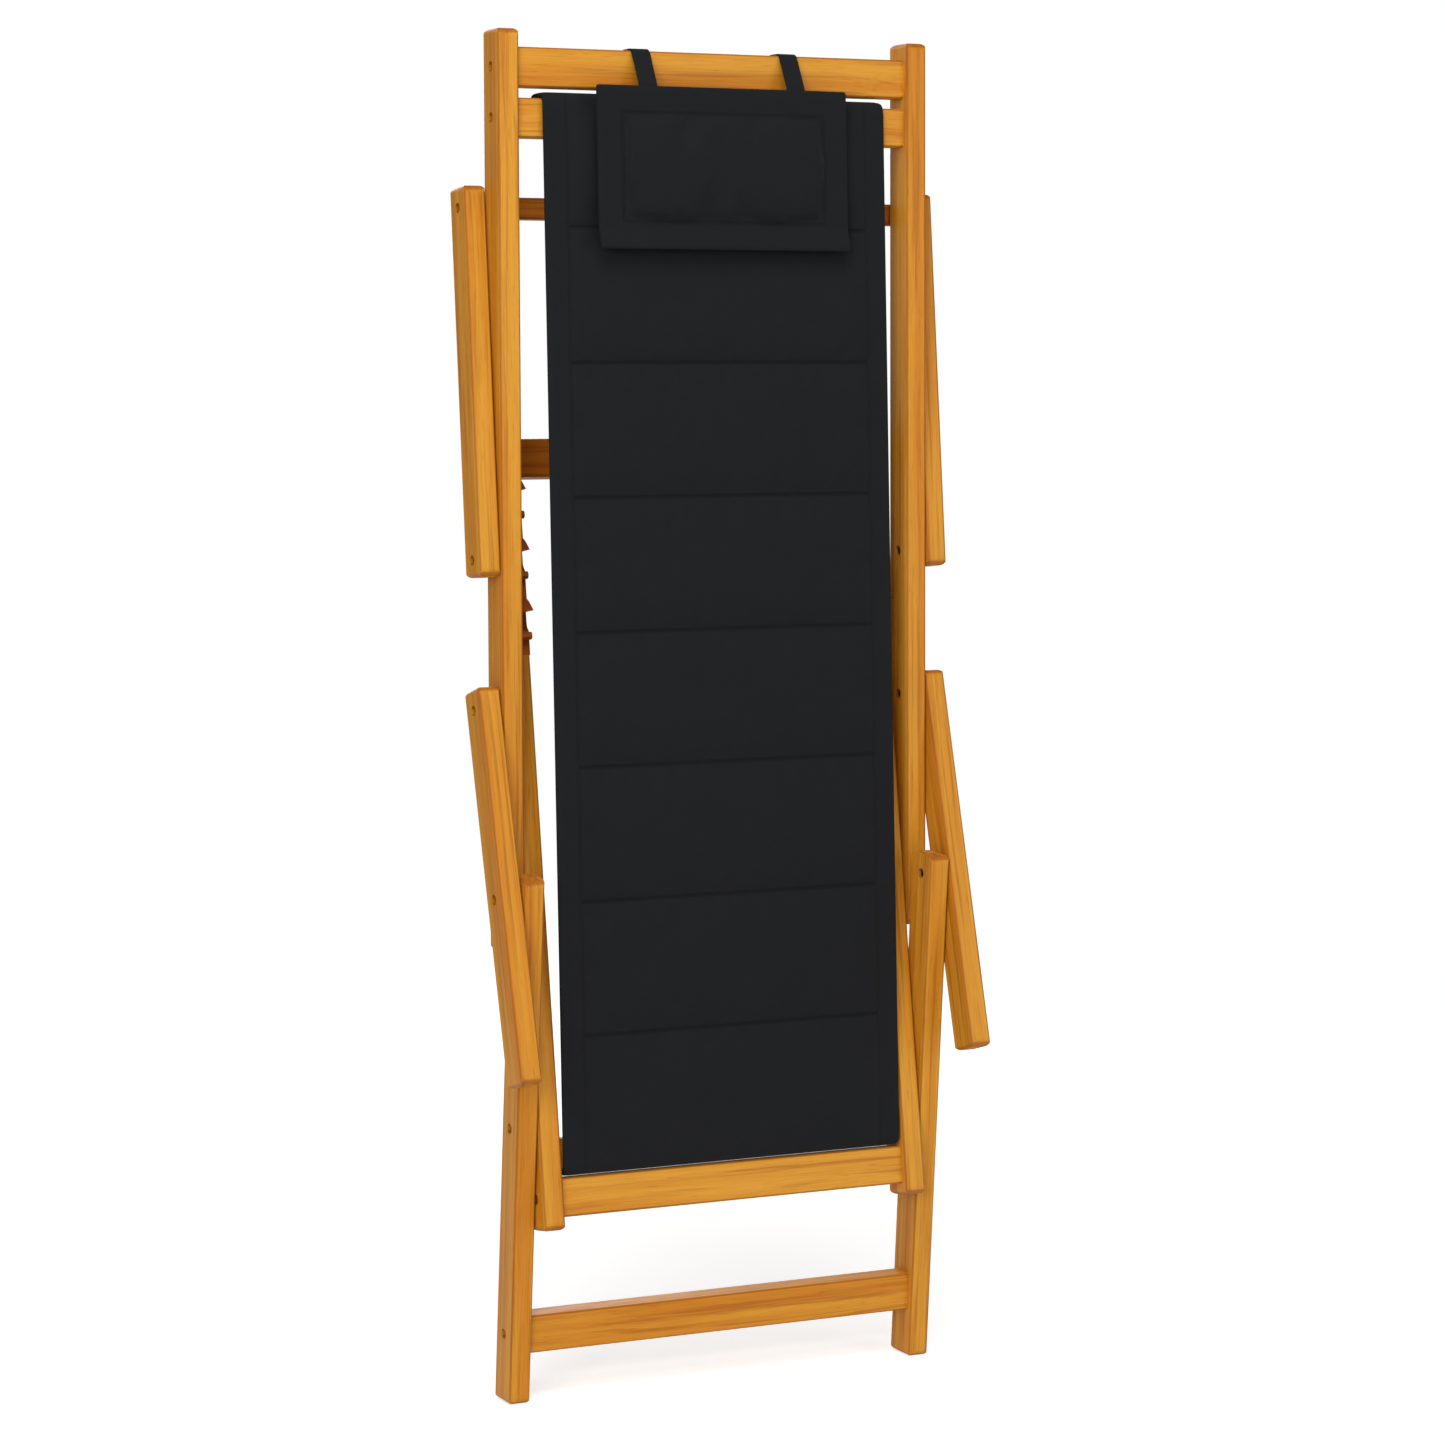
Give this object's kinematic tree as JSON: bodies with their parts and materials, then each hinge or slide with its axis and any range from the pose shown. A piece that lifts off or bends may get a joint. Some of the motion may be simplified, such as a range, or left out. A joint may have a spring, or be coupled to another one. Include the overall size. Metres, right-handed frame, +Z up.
{
  "type": "folding deck chair",
  "caption": "Folded wooden deck chair with padded sling, head pillow on straps, armrests, front legs, prop bar and notched racks.",
  "frame": {"origin": "on the floor under the middle of the folded chair's bounding box", "axes": "+Z up, +Y towards the back, +X to the right of someone facing the front; the chair stands folded on the feet of its front legs"},
  "size_m": [0.6, 0.243, 1.57],
  "materials": {
    "wood": "golden oiled hardwood, planed and rounded, satin",
    "rack_wood": "golden oiled hardwood, sawn notches, satin",
    "sling_cloth": "near-black woven polyester, padded and stitched across",
    "webbing": "near-black flat woven webbing",
    "steel": "zinc-plated steel, dulled"
  },
  "bodies": {
    "back_frame": {"back_rail_left": "wood", "back_rail_right": "wood", "head_rail": "wood", "sling_head_rail": "wood", "back_screws": "steel", "back_pivot_bolts": "steel", "back_pivot_nuts": "steel", "back_washers": "steel", "sling_back": "sling_cloth", "pillow": "sling_cloth", "pillow_strap_left": "webbing", "pillow_strap_right": "webbing"},
    "seat_frame": {"seat_rail_left": "wood", "seat_rail_right": "wood", "knee_rail": "wood", "sling_knee_rail": "wood", "rear_cross_rail": "wood", "notch_rack_left": "rack_wood", "notch_rack_right": "rack_wood", "rack_screws": "steel", "seat_screws": "steel", "sling_seat": "sling_cloth"},
    "front_leg_frame": {"front_leg_left": "wood", "front_leg_right": "wood", "leg_stretcher": "wood", "leg_screws": "steel", "leg_pivot_bolts": "steel", "leg_pivot_nuts": "steel", "leg_washers": "steel", "arm_sleeve_nuts": "steel"},
    "armrest_left": {"armrest_left": "wood", "armrest_left_bolt": "steel", "armrest_left_washer": "steel"},
    "armrest_right": {"armrest_right": "wood", "armrest_right_bolt": "steel", "armrest_right_washer": "steel"},
    "prop_frame": {"prop_arm_left": "wood", "prop_arm_right": "wood", "prop_bar": "wood", "prop_screws": "steel"}
  },
  "joints": [
    {"name": "seat_fold", "type": "hinge", "parent": "back_frame", "child": "seat_frame", "pos_m": [0, 0.01174, 0.54697], "axis": [-1, 0, 0], "range_deg": [0, 58.22]},
    {"name": "front_leg_fold", "type": "hinge", "parent": "seat_frame", "child": "front_leg_frame", "pos_m": [0, -0.02255, 0.32288], "axis": [-1, 0, 0], "range_deg": [-52.21, 0]},
    {"name": "armrest_left_fold", "type": "hinge", "parent": "back_frame", "child": "armrest_left", "pos_m": [-0.287, 0.01395, 0.79996], "axis": [-1, 0, 0], "range_deg": [0, 54.6]},
    {"name": "armrest_right_fold", "type": "hinge", "parent": "back_frame", "child": "armrest_right", "pos_m": [0.287, 0.01395, 0.79996], "axis": [-1, 0, 0], "range_deg": [0, 54.6]},
    {"name": "prop_swing", "type": "hinge", "parent": "back_frame", "child": "prop_frame", "pos_m": [0, 0.01544, 0.97096], "axis": [-1, 0, 0], "range_deg": [0, 124.4]}
  ],
  "couplings": [
    {"joint": "front_leg_fold", "follows": "seat_fold", "ratio": -0.89668},
    {"joint": "armrest_left_fold", "follows": "seat_fold", "ratio": 0.93769},
    {"joint": "armrest_right_fold", "follows": "seat_fold", "ratio": 0.93769}
  ]
}
